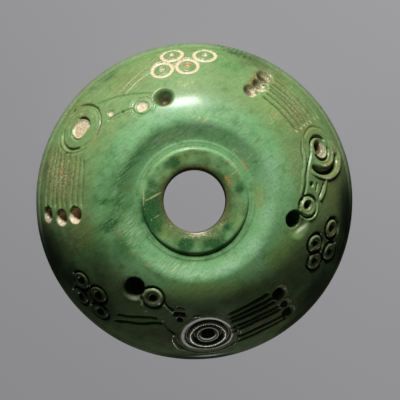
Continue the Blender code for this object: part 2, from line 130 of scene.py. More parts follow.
FIGURES = (
    # The left figure
    Figure(
        bearing=math.radians(147.6),
        plume=(
            (3.0, 2.7, 2.8),
            (2.1, 1.6, 1.6),
            (1.3, 0.75, 0.6),
            (0.5, -0.2, -0.3),
            (-0.6, -1.15, -1.25),
            (-1.8, -2.3, -2.3),
            (-2.6, -3.2, -3.3),
            (-3.3, -4.1, -4.15),
        ),
        plume_groove=(0.5, 0.2, 0.0, 0.35),
        plume_span=(-10.6, -3.5),
        cuts=(
            # eye
            Pit((0.0, -0.1), 1.35, 0.3, 0.85, residue=1.0),
            Ring((0.0, -0.05), 1.45, 0.42, 0.42, first=-75, sweep=140),
            Ring((0.0, -0.1), 1.42, 0.4, 0.36, first=140, sweep=90, brown=0.5),
            Ring((0.0, 0.0), 1.75, 0.5, 0.12, first=50, sweep=95),
            Ring((0.0, 0.0), 2.95, 0.6, 0.26, first=108, sweep=120),
            Ring((0.0, 0.0), 2.95, 0.5, 0.09, first=220, sweep=255),
            Ring((0.0, 0.0), 3.35, 0.36, 0.4, first=-25, sweep=85),
            Ring((0.0, 0.0), 3.35, 0.34, 0.16, first=-95, sweep=110, brown=0.7),
            Ring((0.0, 0.1), 3.55, 0.5, 0.08, first=105, sweep=140),
            Pit((1.4, 3.3), 0.3, 0.06, brown=0.8),
            Pit((-3.5, 0.2), 0.35, 0.06, brown=0.6),
            # snout
            Line(((1.0, -2.6), (1.6, -2.4), (2.2, -2.0)), 0.5, -0.08),
            Line(
                ((3.4, 0.3), (4.5, -0.3), (6.5, -1.45), (8.3, -2.5), (9.5, -3.2), (10.8, -3.75)),
                width=0.5, depth=0.16, brown=0.3
            ),
            Line(((2.9, -3.3), (4.5, -3.65), (6.0, -4.05), (7.2, -4.4)), 0.4, 0.18),
            Line(((3.4, -3.9), (4.7, -4.3), (6.3, -4.75), (7.2, -5.2)), 0.4, 0.08),
            Pit((4.1, -2.8), 0.55, 0.25, residue=1.0),
            Pit((5.45, -3.9), 0.28, 0.3),
            # nose
            Ring((8.6, -4.9), 1.3, 0.34, 0.12, brown=0.35),
            Ring((8.6, -4.9), 1.6, 0.3, 0.06, brown=0.3),
            Pit((8.45, -5.0), 0.95, 0.2, 0.5, residue=0.85),
            # socket
            Pit((12.1, -4.95), 1.5, 1.5, 0.2, brown=0.65),
            # stem
            Line(((7.2, -1.85), (9.0, -1.05), (10.5, -0.5), (11.8, 0.2)), 0.34, 0.08, residue=0.25),
            Line(((6.6, -1.1), (8.5, -0.25), (10.0, 0.5), (12.0, 1.6)), 0.34, 0.08, residue=0.25),
            # holes
            Pit((-11.15, 2.45), 1.1, 1.5, 0.25),
            Pit((-11.75, -0.4), 1.12, 1.5, 0.25),
            Pit((-11.65, -2.95), 1.15, 1.5, 0.25),
            # Pale fill on the lower wall of each hole: partly the fill, partly painted highlight where that
            # wall faces the key lamp.
            Pit((-11.35, 2.45), 1.1, 0.02, 0.7, residue=1.0),
            Pit((-11.95, -0.4), 1.12, 0.02, 0.7, residue=1.0),
            Pit((-11.85, -2.95), 1.15, 0.02, 0.7, residue=1.0),
        ),
        petals=((13.0, -0.1), (16.2, -0.1), (14.5, 2.7), (18.3, 2.3)),
        petal=(
            Ring(HERE, 1.33, 0.9, 0.22, residue=0.75),
            Pit(HERE, 0.55, 0.2, residue=0.55),
            Pit(HERE, 0.22, 0.35, brown=0.6),
        ),
    ),
    # The right figure
    Figure(
        bearing=math.radians(22.5),
        plume=(
            (2.9, 2.85, 3.0),
            (2.0, 1.95, 2.05),
            (0.85, 0.85, 0.95),
            (0.1, 0.1, 0.2),
            (-0.5, -0.5, -0.4),
            (-1.4, -1.4, -1.3),
            (-2.4, -2.3, -2.2),
        ),
        plume_groove=(0.45, 0.42, 0.0, 0.45),
        plume_span=(-10.2, -3.4),
        cuts=(
            # eye
            Pit((-0.05, -0.05), 1.3, 0.25, 0.8, residue=0.45, brown=0.25),
            Ring((-0.05, -0.1), 1.1, 0.4, -0.12, residue=0.5),
            Pit((-0.18, -0.3), 0.95, 0.9, 0.55, brown=1.0),
            Pit((-0.6, 0.25), 0.42, 0.5, 0.3, brown=0.8),
            Ring((0.0, 0.0), 1.42, 0.45, 0.4, first=-80, sweep=170, brown=0.95),
            Ring((0.0, -0.1), 1.68, 0.5, 0.5, first=108, sweep=155, brown=0.25),
            Ring((0.0, 0.0), 2.25, 0.7, -0.16, first=-60, sweep=170, residue=0.3),
            Ring((0.05, 0.0), 3.05, 0.95, 0.75, first=-58, sweep=130, brown=0.75),
            Ring((0.0, 0.0), 3.9, 0.7, -0.18, first=-58, sweep=140, residue=0.25),
            Ring((0.0, 0.0), 2.9, 0.5, 0.12, first=75, sweep=215),
            # snout
            Line(((-2.2, -2.5), (-0.7, -3.5), (0.8, -3.8)), 0.3, 0.08, brown=0.7),
            Line(
                ((-0.6, -1.7), (0.3, -2.3), (1.2, -2.95), (2.2, -3.6), (3.5, -4.05), (5.5, -4.65),
                 (7.3, -5.3)),
                width=0.45, depth=0.3
            ),
            Line(((7.0, -5.25), (7.6, -5.4), (8.2, -5.3)), 0.4, 0.3),
            Line(
                ((-2.4, -1.7), (-1.5, -2.5), (0.0, -3.2), (1.6, -3.85), (2.9, -4.5), (4.5, -4.95),
                 (6.0, -5.35)),
                width=0.6, depth=-0.12
            ),
            Pit((4.3, -3.35), 0.38, 0.4),
            Line(((4.2, -2.35), (4.8, -2.55), (5.3, -2.75)), 0.36, 0.24),
            Line(((4.4, -1.2), (5.3, -1.75), (6.2, -2.3)), 0.4, 0.3),
            Line(((3.9, -0.6), (5.0, -1.0), (6.0, -1.6), (6.7, -2.2)), 0.55, -0.14),
            # nose
            Ring((7.55, -4.15), 1.4, 0.42, 0.38),
            Ring((7.55, -4.1), 0.92, 0.6, -0.08, residue=0.4),
            Pit((7.35, -4.25), 0.65, 0.65, 0.4, brown=0.8),
            Line(((7.0, -2.6), (8.0, -2.6), (9.0, -3.05), (9.6, -3.9)), 0.6, -0.1),
            # socket
            Pit((9.95, -5.95), 1.38, 2.3, 0.35),
            Pit((10.75, -5.25), 1.8, 0.55, 0.1),
            # stem
            Line(((6.8, -1.7), (7.8, -1.1), (8.9, -0.4)), 0.3, 0.08),
            # holes
            Pit((-11.3, 1.4), 1.3, 0.6, 0.45, residue=0.42, brown=0.3),
            Pit((-11.3, -0.6), 1.3, 0.6, 0.45, residue=0.5, brown=0.2),
            Pit((-12.0, -2.3), 1.2, 0.65, 0.45, residue=0.55, brown=0.2),
            Pit((-11.4, 1.25), 1.15, 1.0, 0.3, brown=0.75),
            Pit((-11.6, -0.4), 0.95, 0.85, 0.3, brown=0.55),
            Pit((-12.25, -2.3), 0.95, 0.85, 0.3, brown=0.6),
        ),
        petals=((10.1, 0.8), (12.5, -1.6), (12.8, 1.75), (14.6, -0.4)),
        petal=(
            Ring(HERE, 1.3, 0.52, 0.5, brown=1.0),
            Ring(HERE, 0.88, 0.42, -0.08, residue=0.42, brown=0.2),
            Pit(HERE, 0.52, 0.5, brown=0.95),
        ),
    ),
    # The lower figure
    Figure(
        bearing=math.radians(-84.4),
        plume=(
            (2.4, 2.2, 2.8),
            (1.4, 1.25, 1.9),
            (0.0, -0.2, 0.45),
            (-0.8, -0.85, -0.3),
            (-1.9, -1.85, -1.45),
            (-2.5, -2.65, -2.3),
            (-3.3, -3.55, -3.35),
        ),
        plume_groove=(0.6, 0.32, 0.0, 0.3),
        plume_span=(-10.0, -3.2),
        cuts=(
            # eye
            Pit((0.0, -0.6), 0.95, 0.9, 0.5, brown=1.0),
            Ring((0.0, -0.4), 1.35, 0.6, -0.06, brown=0.6, gloss=0.2),
            Ring((0.0, -0.25), 1.74, 0.6, 0.5, first=-20, sweep=220, brown=0.8),
            Ring((0.0, -0.3), 1.8, 0.32, 0.25, first=190, sweep=160),
            # The pale fill on these glossy raised rings is partly painted highlight, for the glints they
            # catch.
            Ring((0.0, -0.1), 2.22, 0.75, -0.07, residue=1.0, gloss=1.0),
            Ring((0.0, -0.2), 2.68, 0.45, 0.24),
            Ring((0.1, -0.25), 3.4, 1.0, -0.04, residue=0.3),
            Ring((0.05, -0.25), 3.72, 0.35, -0.03, residue=0.3),
            Ring((0.1, -0.1), 3.95, 0.4, 0.3, first=0, sweep=200, brown=0.4),
            Ring((0.2, 0.0), 4.3, 0.4, -0.16, first=-5, sweep=60, residue=0.6, gloss=1.0),
            # snout
            # The pale fill on this glossy ridge is partly painted highlight.
            Line(((0.8, -3.75), (1.4, -3.8), (2.0, -3.7)), 0.4, -0.12, residue=0.5, gloss=1.0),
            Line(((3.1, -4.0), (3.9, -4.0), (4.8, -3.85)), 0.85, 0.5, brown=0.9),
            # Painted glint in the nostril cavity, as pale fill on a glossy ridge.
            Line(((3.6, -3.5), (3.8, -3.7), (4.1, -3.8)), 0.35, -0.16, residue=0.8, gloss=1.0),
            Pit((3.8, -3.0), 0.45, 0.4, brown=0.7),
            Line(((3.2, -4.9), (3.9, -5.1), (4.6, -5.0)), 0.3, 0.1, residue=0.4, brown=0.3),
            Line(((4.9, -4.45), (5.7, -4.7), (6.4, -5.1), (7.0, -5.8)), 0.42, 0.32),
            Line(((5.3, -4.2), (6.5, -4.75), (7.1, -4.4)), 0.4, -0.1, residue=0.2),
            Line(((4.1, -0.2), (5.0, -0.9), (5.6, -1.6), (6.0, -2.3)), 0.38, 0.26),
            # stem
            Line(
                ((6.0, -1.8), (7.0, -1.5), (8.0, -0.95), (9.3, -0.15), (10.5, 0.6), (11.8, 1.7)),
                width=0.5, depth=0.45, brown=0.3
            ),
            Line(
                ((6.9, -2.45), (8.0, -2.15), (9.3, -1.5), (10.3, -0.8), (12.0, 0.25)),
                width=0.45, depth=0.4, brown=0.2
            ),
            # nose
            Line(((8.8, -2.9), (9.3, -3.3), (9.9, -3.7)), 0.5, -0.12, residue=0.2),
            Ring((8.7, -5.35), 1.5, 0.42, 0.42),
            Ring((8.7, -5.45), 1.0, 0.55, -0.1, residue=0.75, gloss=0.6),
            Pit((8.6, -5.3), 0.6, 0.6, 0.4, brown=0.95),
            # socket
            Pit((12.15, -5.35), 1.55, 2.3, 0.5),
            Pit((12.0, -4.75), 1.5, 0.5, 0.3),
            # holes
            Pit((-10.85, -2.1), 1.0, 1.4, 0.35, brown=0.7),
            Pit((-10.55, 0.1), 0.62, 0.9, 0.35, brown=0.6),
            Pit((-10.2, 1.9), 0.95, 1.4, 0.35, brown=0.3),
            Ring((-10.85, -2.1), 1.2, 0.45, -0.08, first=120, sweep=140, residue=0.5),
            Ring((-10.55, 0.2), 0.95, 0.45, -0.08, first=110, sweep=140, residue=0.5),
            Ring((-10.2, 1.9), 1.15, 0.45, -0.08, first=120, sweep=120, residue=0.5),
        ),
        petals=((15.3, -0.3), (18.0, 0.55), (13.8, 2.0), (16.6, 2.8)),
        petal=(
            Ring(HERE, 1.32, 0.45, 0.4, brown=0.9),
            Ring(HERE, 1.0, 0.35, -0.05, residue=0.4, gloss=0.6),
            Pit(HERE, 0.7, 0.4, brown=0.9),
        ),
    ),
)
FINE_RING_RADIUS = 7.35  # of a fine raised ring round the collar's foot
FINE_RING_WIDTH = 0.4
FINE_RING_RISE = 0.02
CREASE_WIDTH = 0.5  # of the groove between the dome and the lip
CREASE_DEPTH = 0.06
CARVED_FROM = -8.5  # how far out from an eye the cuts can begin
FIGURE_REACH = (-15.0, 21.0)  # how far along a figure's cuts can lie
RING_FADE = 18  # degrees over which a broken ring's ends rise
RING_GAP = 3.0  # added to the distance from a ring beyond its ends, where no face is to be split
LINE_FADE = 0.12  # share of a line over which its ends sink in
LINE_START = 0.25  # share of that fade that a line starts with
WARP = 0.07  # how far the carver's hand strays
WARP_SIZE = 1.6
WARP_APART = 7.3  # between the noises of the two directions
UNEVEN = 0.06  # how far the polish leaves the turned form
UNEVEN_SWAYS = ((6.0, 1.0), (2.2, 0.5))  # the size and the share of each sway
UNEVEN_MIDDLE = 0.75  # shares of UNEVEN: what is lost all over, and how much that varies
UNEVEN_SPREAD = 0.5
RECESS_DEPTH = 0.4  # of a cut that is as dark and matt as cuts get

# Tints, stains and dust on the stone's carved side, as soft oval patches in the plan. One set of them is
# painted shade, and a few vein and pale patches are painted highlight. A row is a patch's centre x and y, its
# half-length and half-width, its turn in degrees, and its strength.
PATCHES = {
    "emerald": (
        (-5.2, -1.5, 2.9, 1.5, 98, 1.6),
        (-5.4, 2.0, 1.3, 0.9, 90, 0.9),
        (-2.8, 4.7, 1.4, 0.9, 40, 1.15),
        (1.0, 5.9, 1.4, 0.5, 0, 0.65),
        (3.4, 4.3, 1.0, 0.5, -30, 0.5),
        (5.5, 1.8, 2.6, 1.2, 96, 0.6),
        (4.0, -3.2, 1.1, 0.7, 30, 0.9),
        (2.2, -5.4, 1.8, 0.9, 14, 1.0),
        (-1.0, -5.4, 1.2, 1.1, 0, 1.2),
        (0.0, 0.0, 6.2, 6.2, 0, 0.8),
    ),
    "fleck": (
        (-8.6, 3.6, 4.4, 1.1, 54, 0.6),
        (-11.2, -0.2, 0.9, 0.5, 30, 1.0),
        (-9.6, -0.6, 2.2, 1.0, 80, 0.6),
        (-10.5, 0.0, 1.9, 0.45, 8, 0.85),
        (-10.6, -3.0, 1.5, 0.8, 25, 1.2),
        (-9.3, -2.0, 0.6, 0.3, 35, 0.6),
        (-8.7, -5.1, 0.7, 0.4, 40, 0.5),
        (-10.0, 3.3, 0.9, 0.5, 70, 0.6),
        (-7.2, 5.6, 1.4, 0.6, 45, 0.65),
        (-4.9, 8.3, 1.6, 0.5, 42, 0.35),
        (-4.5, -9.1, 0.9, 0.5, 30, 0.45),
        (3.7, 14.0, 1.1, 0.8, 0, 0.45),
        (2.9, 16.2, 1.3, 0.6, -10, 0.35),
        (5.2, 18.7, 3.2, 0.6, -20, 0.75),
        (-10.9, 15.5, 2.6, 0.5, 42, 0.5),
    ),
    "teal": (
        (9.3, 3.4, 3.4, 1.4, 100, 1.0),
        (9.0, -1.5, 3.0, 1.4, 85, 0.9),
        (7.3, -5.8, 2.6, 1.6, 50, 0.9),
        (4.0, -8.3, 3.0, 1.3, 25, 0.9),
        (0.0, -9.2, 3.0, 1.2, 0, 0.85),
        (-4.2, -8.2, 2.6, 1.2, -25, 0.6),
        (6.0, 7.6, 2.6, 1.2, -45, 0.6),
        (1.5, 9.3, 3.6, 0.9, -8, 0.75),
        (-5.5, 7.4, 3.0, 1.2, 42, 0.35),
    ),
    "deep": (
        (-9.5, 0.3, 7.0, 3.2, 95, 0.78),
        (-5.5, 7.5, 3.5, 2.0, 42, 0.5),
        (0.0, 0.0, 6.4, 6.4, 0, 0.75),
        (-8.8, -5.6, 3.2, 2.6, -30, 0.85),
        (-4.6, -8.4, 3.2, 1.5, -25, 0.6),
        (-1.5, -9.2, 4.0, 1.4, 0, 0.45),
        (-8.2, 9.2, 3.0, 1.6, 42, 0.5),
        (5.8, 9.2, 3.0, 1.5, -35, 0.5),
        (-12.2, 0.0, 2.8, 2.0, 90, 0.6),
        (-13.0, -6.0, 5.0, 4.5, 0, 0.8),
        (4.5, 17.0, 4.5, 2.0, -20, 0.5),
        (3.0, 11.3, 4.5, 1.1, -12, 0.6),
    ),
    "olive": (
        (0.0, 0.0, 6.2, 6.2, 0, 1.05),
        (7.8, 0.3, 2.6, 1.0, 85, 0.35),
        (-8.3, 1.4, 2.0, 1.0, 80, 0.45),
        (17.3, 2.0, 5.0, 2.0, 95, 0.9),
        (16.8, -3.2, 3.2, 2.0, 75, 0.8),
        (13.0, 10.2, 4.2, 2.2, -52, 0.85),
        (10.0, 15.0, 3.5, 1.5, -35, 0.8),
        (7.2, 17.6, 3.0, 1.5, -22, 0.6),
        (-16.6, 3.2, 4.6, 3.0, 92, 0.95),
        (-14.5, 11.0, 3.2, 2.4, 50, 0.7),
        (-8.0, 15.2, 4.2, 1.8, 28, 0.75),
        (-3.0, 17.6, 4.8, 1.6, 8, 0.7),
        (-14.2, -3.8, 3.2, 2.6, 110, 0.75),
        (0.0, -16.5, 12.0, 3.4, 0, 0.7),
    ),
    "moss": (
        (-3.9, -3.6, 1.8, 0.9, -45, 0.9),
        (-1.5, 5.6, 3.2, 0.9, 12, 0.7),
        (5.4, -2.2, 1.6, 1.0, 80, 0.7),
        (7.9, 0.3, 2.6, 1.0, 85, 0.7),
        (2.0, -11.3, 8.5, 1.5, 3, 0.9),
        (10.8, -6.2, 4.5, 1.6, 58, 0.8),
        (13.6, -1.2, 2.6, 1.4, 80, 0.5),
        (9.0, 12.5, 4.5, 2.2, -50, 0.5),
    ),
    "umber": (
        (9.5, -14.2, 5.5, 2.6, 35, 0.7),
        (-16.6, 3.2, 4.0, 2.8, 92, 0.5),
        (-15.3, -5.0, 2.8, 1.8, -60, 0.6),
        (17.6, 1.5, 3.0, 1.0, 90, 0.35),
        (7.5, 15.2, 1.8, 0.8, 42, 0.7),
        (-2.6, -14.2, 3.4, 1.6, -38, 0.6),
        (15.8, -5.4, 4.0, 2.2, 62, 0.75),
        (-13.2, -11.6, 4.5, 2.4, -46, 0.5),
        (1.6, -16.9, 5.0, 3.0, 0, 0.7),
    ),
    "pale": (
        (-7.6, -12.0, 1.1, 0.38, -22, 0.9),
        (13.3, -3.4, 1.4, 0.3, 38, 0.9),
        (16.6, 2.7, 1.1, 0.35, -10, 0.7),
        (16.2, 4.4, 0.6, 0.3, 30, 0.6),
        (15.2, 0.8, 1.8, 0.25, 65, 0.5),
        (-3.6, 13.0, 0.55, 0.35, 20, 0.6),
        # Partly pale fill, partly painted highlight: the lit lower walls of the left figure's holes.
        (-18.6, -2.3, 0.35, 0.3, 0, 0.7),
        (-17.0, -2.4, 0.45, 0.32, 0, 0.8),
        (-15.4, -2.1, 0.45, 0.35, 0, 0.8),
    ),
    # Painted shade: dark patches over the lower flank, round the rim and where the dome turns away from the
    # key lamp.
    "shade": (
        (-2.0, -16.8, 13.0, 3.2, 0, 0.5),
        (0.0, -19.8, 11.0, 0.9, 0, 0.85),
        (13.2, -14.4, 6.0, 0.9, 45, 0.8),
        (19.2, -1.6, 5.2, 1.3, 94, 1.1),
        (-18.0, -6.4, 5.4, 2.4, 112, 1.0),
        (-12.8, -12.4, 6.0, 2.4, -46, 0.8),
        (15.2, -11.4, 5.5, 1.6, 53, 0.95),
        (12.8, -10.4, 2.2, 1.5, 50, 0.45),
        (18.2, -6.6, 3.2, 1.2, 70, 0.85),
        (7.5, -13.4, 5.2, 2.2, 33, 0.55),
        (1.5, -14.0, 3.0, 1.0, 5, 0.45),
        (7.4, 17.6, 4.2, 1.2, -24, 0.5),
        (-11.6, 15.0, 5.0, 1.3, 40, 0.35),
        (-18.6, 3.6, 5.2, 0.7, 98, 0.3),
        (-15.8, -9.4, 3.2, 2.2, -58, 0.9),
        (-6.6, -11.6, 4.2, 1.6, -30, 0.58),
        (6.2, -11.6, 4.2, 1.2, 28, 0.42),
        (-11.6, -8.6, 3.2, 2.4, -50, 0.5),
        (-16.3, -4.6, 2.4, 1.6, 105, 0.35),
        (-5.2, -0.3, 1.4, 0.9, 90, 0.3),
    ),
    "vein_and_highlight": (
        (-5.1, 0.55, 1.5, 0.14, 28, 1.0),
        (-5.0, -2.1, 0.9, 0.12, 30, 0.7),
        (5.0, 3.55, 0.9, 0.13, 35, 0.8),
        (0.5, 10.2, 0.7, 0.13, 40, 0.9),
        (1.3, 10.0, 0.7, 0.17, 38, 1.0),
        (2.6, 10.0, 0.15, 0.15, 0, 0.9),
        (-2.4, -8.2, 1.2, 0.09, 47, 0.7),
        (-5.1, -7.3, 0.8, 0.08, 35, 0.6),
        (0.1, -7.7, 0.8, 0.08, 40, 0.55),
        (-8.9, -0.7, 0.5, 0.12, 30, 0.5),
        (-6.4, -2.6, 0.9, 0.1, 33, 0.45),
        (-6.4, 0.6, 1.8, 0.14, 92, 0.7),
        # Painted highlight: the bright lower edge of the bore's mouth, which faces the key lamp.
        (3.3, -2.9, 1.7, 0.4, 42, 0.45),
        (-3.0, -3.1, 1.1, 0.35, -42, 0.5),
    ),
    "scratched": (
        (-8.2, -3.6, 2.2, 3.0, 38, 0.75),
        (-2.5, 8.0, 5.0, 1.6, 20, 0.8),
        (6.5, 6.0, 3.5, 2.5, -45, 0.6),
        (-9.5, 3.0, 4.0, 2.0, 80, 0.5),
        (-2.0, -8.5, 4.5, 1.6, -10, 0.7),
        (10.0, 0.0, 5.0, 2.0, 90, 0.4),
        (-14.0, 12.0, 6.0, 3.0, 45, 0.45),
    ),
    "rust": (
        (-9.4, -4.1, 0.45, 0.22, 10, 1.0),
        (-5.9, -8.1, 0.35, 0.25, 0, 0.8),
        (-7.7, -6.6, 0.3, 0.25, 0, 0.7),
        (7.5, 7.6, 0.6, 0.4, 0, 0.5),
        (0.8, 14.7, 0.7, 0.3, 0, 0.5),
        (6.0, 4.4, 1.0, 0.5, 130, 0.6),
        (7.4, 2.9, 0.3, 0.2, 0, 0.7),
        (4.1, 2.4, 1.2, 0.4, -62, 0.7),
        (8.4, 0.5, 1.6, 0.3, 75, 0.35),
        (-1.8, 5.1, 1.1, 0.3, 20, 0.4),
        (-12.3, 8.0, 2.2, 0.2, 65, 0.65),
        (-16.6, 3.6, 1.4, 0.5, 90, 0.45),
        (-14.6, 3.8, 0.9, 0.6, 60, 0.4),
        (9.6, 11.0, 2.2, 0.35, -52, 0.5),
        (7.3, 15.0, 1.9, 0.9, 42, 0.5),
        (16.6, 4.9, 0.5, 0.4, 0, 0.7),
        (12.2, 6.3, 2.2, 0.2, 80, 0.5),
        (-0.9, 17.0, 0.5, 0.4, 0, 0.9),
        (0.2, 4.2, 2.4, 0.3, 0, 0.5),
    ),
    "dust": (
        (-17.0, 3.2, 3.8, 2.4, 92, 0.55),
        (12.2, 11.8, 4.2, 2.0, -52, 0.5),
        (10.2, 10.5, 1.4, 1.2, 0, 0.55),
        (11.9, 8.8, 0.6, 0.5, 0, 0.5),
        (-5.8, 12.4, 1.3, 0.8, 10, 0.4),
        (-2.6, 17.2, 4.2, 1.2, 8, 0.55),
        (-1.0, 14.6, 1.4, 0.9, 0, 0.55),
        (-8.0, 14.6, 3.5, 0.6, 30, 0.35),
        (8.4, 15.6, 1.6, 0.9, 30, 0.8),
        (17.9, 6.2, 2.4, 0.9, 108, 0.6),
        (0.6, -4.3, 1.9, 0.3, 5, 1.0),
        (9.6, -13.6, 4.6, 1.8, 35, 0.5),
        (6.0, 5.0, 1.6, 0.5, -48, 0.45),
        (4.6, 4.6, 1.2, 0.5, -45, 0.55),
        (8.0, 0.6, 2.0, 0.7, 85, 0.45),
        (12.4, 4.0, 4.0, 2.2, 95, 0.34),
        (-6.5, 2.6, 2.6, 0.2, 72, 0.5),
    ),
}
UNDER_FADE = 0.8  # height above the underside over which the patches set in
# The lip's tint is a painted reflection of the pale floor on the steep rim.
RINGS_OF_TINT = {"weathered": (11.0, 14.0), "lip": (19.35, 19.6)}  # radii between which each sets in
MOUTH_STAIN_REACH = 1.3  # how far the stain round the bore's mouth spreads
MOUTH_STAIN_FOOT = COLLAR_Z - 2 * MOUTH_DEPTH  # where it ends inside the bore
STREAK_TURN = math.radians(38)  # of the polish marks

# Colours, as red, green and blue
JADE = (0.18, 0.41, 0.165)
JADE_PALE = (0.22, 0.46, 0.19)
JADE_DEEP = (0.07, 0.2, 0.06)
TEAL = (0.28, 0.51, 0.29)
MOSS = (0.25, 0.38, 0.09)
OLIVE = (0.2, 0.225, 0.068)
UMBER = (0.085, 0.065, 0.022)
EMERALD = (0.007, 0.085, 0.015)
# painted shade
PAINTED_SHADE = (0.022, 0.04, 0.012)
# painted reflection of the floor on the lip
PAINTED_LIP_REFLECTION = (0.25, 0.28, 0.18)
# veins, and the painted highlight on the bore mouth's lower edge
VEIN_AND_HIGHLIGHT = (0.5, 0.5, 0.22)
SCRATCH = (0.48, 0.56, 0.32)
RUST = (0.42, 0.24, 0.06)
DUST = (0.52, 0.47, 0.27)
PALE = (0.72, 0.74, 0.56)
# pale fill, and painted highlight on some glossy ridges and hole walls
PALE_FILL_AND_HIGHLIGHT = (0.72, 0.61, 0.42)
RESIDUE_TAN = (0.46, 0.33, 0.18)
BROWN = (0.075, 0.034, 0.009)
STAIN = (0.1, 0.085, 0.03)
# dirt and painted shade in the cuts
CUT_DIRT_AND_SHADE = (0.045, 0.06, 0.015)
PORE = (0.4, 0.29, 0.1)

# Grains of the stone, as noises: spots to the millimetre, levels of detail, and how strong the finer levels
# are. A streaked one is drawn out along the polish marks.
Grain = namedtuple("Grain", "scale detail roughness streaked", defaults=(3.0, 0.55, False))
GRAINS = {
    "cloud": Grain(0.2),
    "mottle": Grain(0.85, detail=5.0),
    "blotch": Grain(0.55, detail=6.0, roughness=0.6),
    "speckle": Grain(4.2, roughness=0.65),
    "grit": Grain(7.0),
    "streak": Grain(1.0, detail=4.0, streaked=True),
    "scratch": Grain(1.3, detail=2.0, streaked=True),
    "hairline": Grain(2.6, detail=1.0, streaked=True),
}

# The stone's colour from the bottom up, over plain jade. A layer grows from nothing to its strength as its
# mask, or its grain where it has no mask, rises from low to high. ragged is how far the grain breaks a mask.
Layer = namedtuple("Layer", "mask grain ragged low high strength colour", defaults=(1.0, None))
LAYERS = (
    Layer("", "cloud", 0.0, 0.4, 0.62, 1.0, JADE_PALE),
    Layer("weathered", "mottle", 0.8, 0.0, 1.1, 0.62, OLIVE),
    Layer("deep", "mottle", 0.8, 0.1, 1.0, 1.0, JADE_DEEP),
    Layer("teal", "mottle", 0.9, 0.25, 0.85, 0.7, TEAL),
    Layer("moss", "mottle", 0.8, 0.1, 0.9, 0.8, MOSS),
    Layer("olive", "mottle", 0.7, 0.2, 0.8, 0.85, OLIVE),
    Layer("umber", "mottle", 1.0, 0.1, 1.0, 0.9, UMBER),
    # Painted reflection of the floor on the lip.
    Layer("lip", "mottle", 0.5, 0.2, 1.1, 0.62, PAINTED_LIP_REFLECTION),
    Layer("", "mottle", 0.0, 0.5, 0.72, 0.5, JADE_DEEP),
    Layer("", "streak", 0.0, 0.52, 0.75, 0.45, JADE_DEEP),
    Layer("", "scratch", 0.0, 0.54, 0.68, 0.45, JADE_PALE),
    Layer("emerald", "blotch", 1.8, 0.2, 0.95, 0.95, EMERALD),
    Layer("fleck", "scratch", 2.0, 0.2, 1.0, 0.85, EMERALD),
    # Darker in the cuts by their depth: partly dirt, partly painted shade.
    Layer("cut_dirt_and_shade", "speckle", 0.6, 0.2, 1.0, 0.6, CUT_DIRT_AND_SHADE),
    Layer("stain", "mottle", 1.2, 0.25, 0.9, 0.75, STAIN),
    Layer("", "speckle", 0.0, 0.45, 0.65, 0.37, JADE_DEEP),
    Layer("", "grit", 0.0, 0.55, 0.7, 0.34, JADE_PALE),
    Layer("", "hairline", 0.0, 0.66, 0.7, 0.2, PORE),
    Layer("scratched", "hairline", 3.4, 0.8, 1.05, 0.6, SCRATCH),
    Layer("", "speckle", 0.0, 0.66, 0.72, 0.7, PORE),
    # Veins and fine lines, and the painted highlight on the bore mouth's lower edge.
    Layer("vein_and_highlight", "speckle", 1.2, 0.3, 0.75, 0.85, VEIN_AND_HIGHLIGHT),
    Layer("dust", "grit", 3.4, 0.45, 1.0, 0.75, DUST),
    Layer("pale", "speckle", 0.9, 0.25, 1.0, 0.8, PALE),
    # Pale fill, in places partly painted highlight.
    Layer("residue", "speckle", 1.6, 0.25, 0.6, 0.95, PALE_FILL_AND_HIGHLIGHT),
    Layer("residue", "speckle", 3.2, 0.75, 1.2, 0.8, RESIDUE_TAN),
    Layer("rust", "speckle", 2.2, 0.35, 0.8, 0.85, RUST),
    Layer("brown", "speckle", 1.0, 0.2, 0.7, 0.92, BROWN),
    # Painted shade over the shade patches, laid last.
    Layer("shade", "mottle", 0.3, 0.0, 1.0, 1.0, PAINTED_SHADE),
)
GRAIN_MIDDLE = 0.5
MASK_FOOT = 0.15  # a grain breaks a weaker mask less, and leaves none where there is no mask
STREAK_STRETCH = (3.2, 0.26, 1.2)
GRAIN_SHIFT = (0.3, 0.2, 0.45)  # keeps the flat underside off the noises' lattice

# Polish. Pale fill and deep cuts are matt, and so are these layers. The glossy layer is polished anew.
MATT_LAYERS = (
    Layer("shade", "mottle", 0.0, 0.0, 0.5),
    Layer("", "speckle", 0.0, 0.35, 0.7, 0.3),
)
GLOSSY_LAYER = Layer("gloss", "speckle", 1.2, 0.3, 0.8)
MATT_ROUGHNESS = (0.48, 0.85)  # of the plain polish, and where it is matt in full
GLOSSY_ROUGHNESS = 0.16
SPECULAR_LEVEL = 0.3
COAT_WEIGHT = 0.32
COAT_ROUGHNESS = 0.23
BUMP_HEIGHT = 0.03  # of each of the two grains in it
BUMP_STRENGTH = 0.4
MIX_SOCKETS = {"FLOAT": (2, 3, 0), "RGBA": (6, 7, 2)}  # a Mix node's two inputs and output, by type

# Stage, in metres
STAGE_RADIUS = 1.5
STAGE_SIDES = 64
FLOOR_GAP = 0.0001  # between the whorl and the floor
FLOOR_COLOUR = (0.202, 0.199, 0.208)
FLOOR_ROUGHNESS = 0.9

# Lamps, in degrees from straight above and round from +X, in metres and in watts
Lamp = namedtuple("Lamp", "name zenith azimuth distance size power")
KEY = Lamp("key", zenith=59, azimuth=97, distance=0.8, size=(0.24, 0.11), power=9.6)
OVERHEAD = Lamp("overhead", zenith=45, azimuth=56, distance=0.4, size=(0.3, 0.3), power=3.84)
LOW_GLINT = Lamp("low_glint", zenith=101, azimuth=-84, distance=0.8, size=(0.08, 0.08), power=1.0)
WORLD_COLOUR = (1.0, 0.98, 0.9)
WORLD_STRENGTH = 0.015

